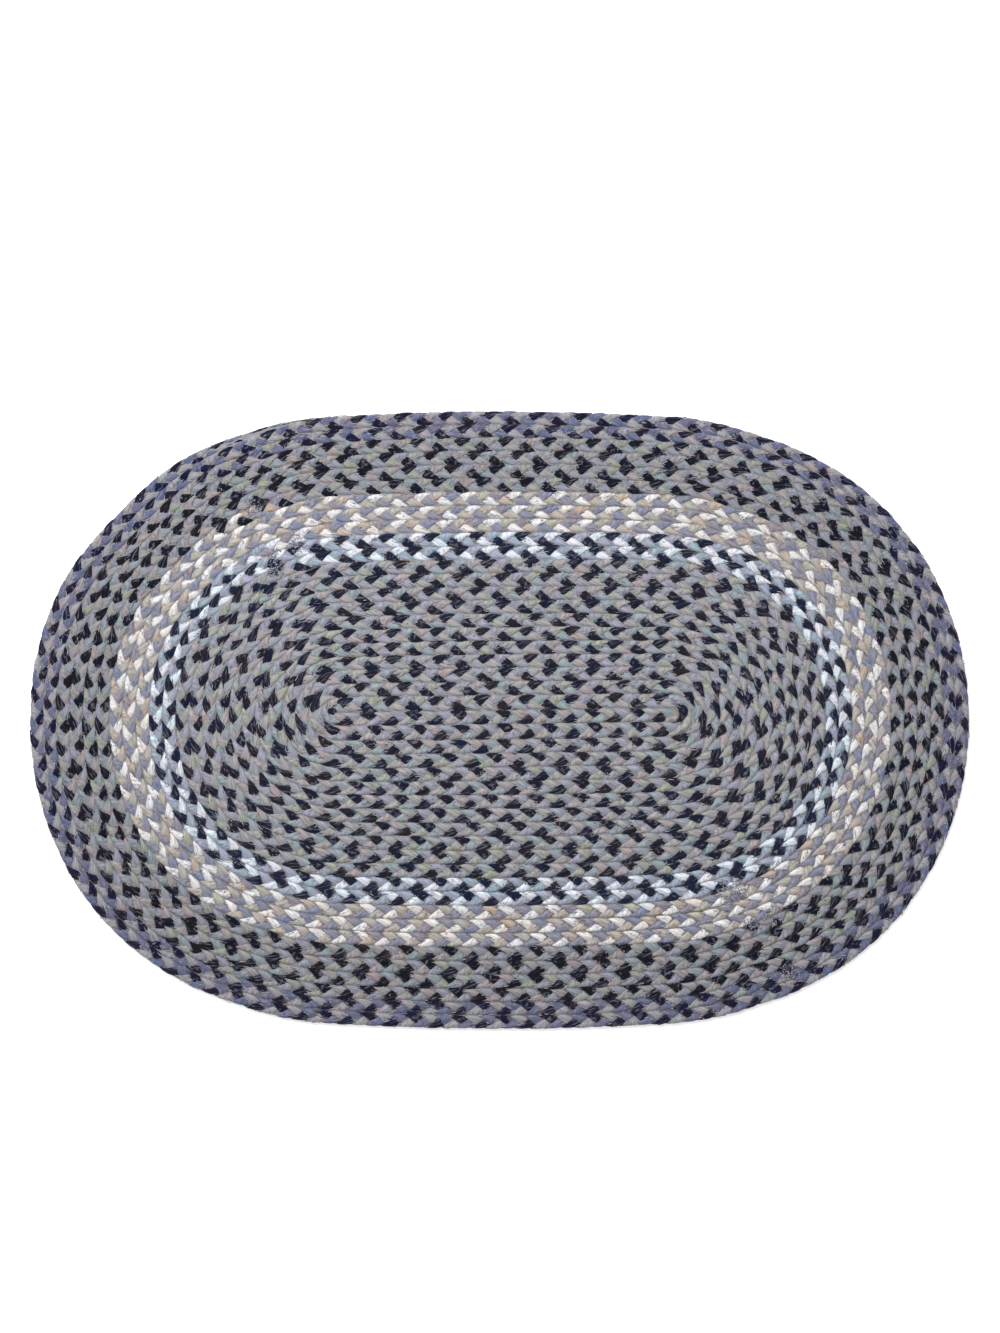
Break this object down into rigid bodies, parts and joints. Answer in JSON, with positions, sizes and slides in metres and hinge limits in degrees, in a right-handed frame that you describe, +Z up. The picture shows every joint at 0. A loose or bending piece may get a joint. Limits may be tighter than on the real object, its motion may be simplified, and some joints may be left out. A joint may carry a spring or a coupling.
{
  "type": "oval braided rug",
  "caption": "Small oval floor rug of one flat plaited jute braid wound in a spiral, with bands of navy, blue-grey, cream and tan.",
  "frame": {"origin": "middle of the flat underside", "axes": "+X along the long axis, to the end where the braid starts; +Z up from the floor"},
  "size_m": [0.7706, 0.5064, 0.0085],
  "materials": {
    "jute_braid": "matte dyed jute"
  },
  "bodies": {
    "root": {"braided_mat": "jute_braid"}
  },
  "joints": []
}
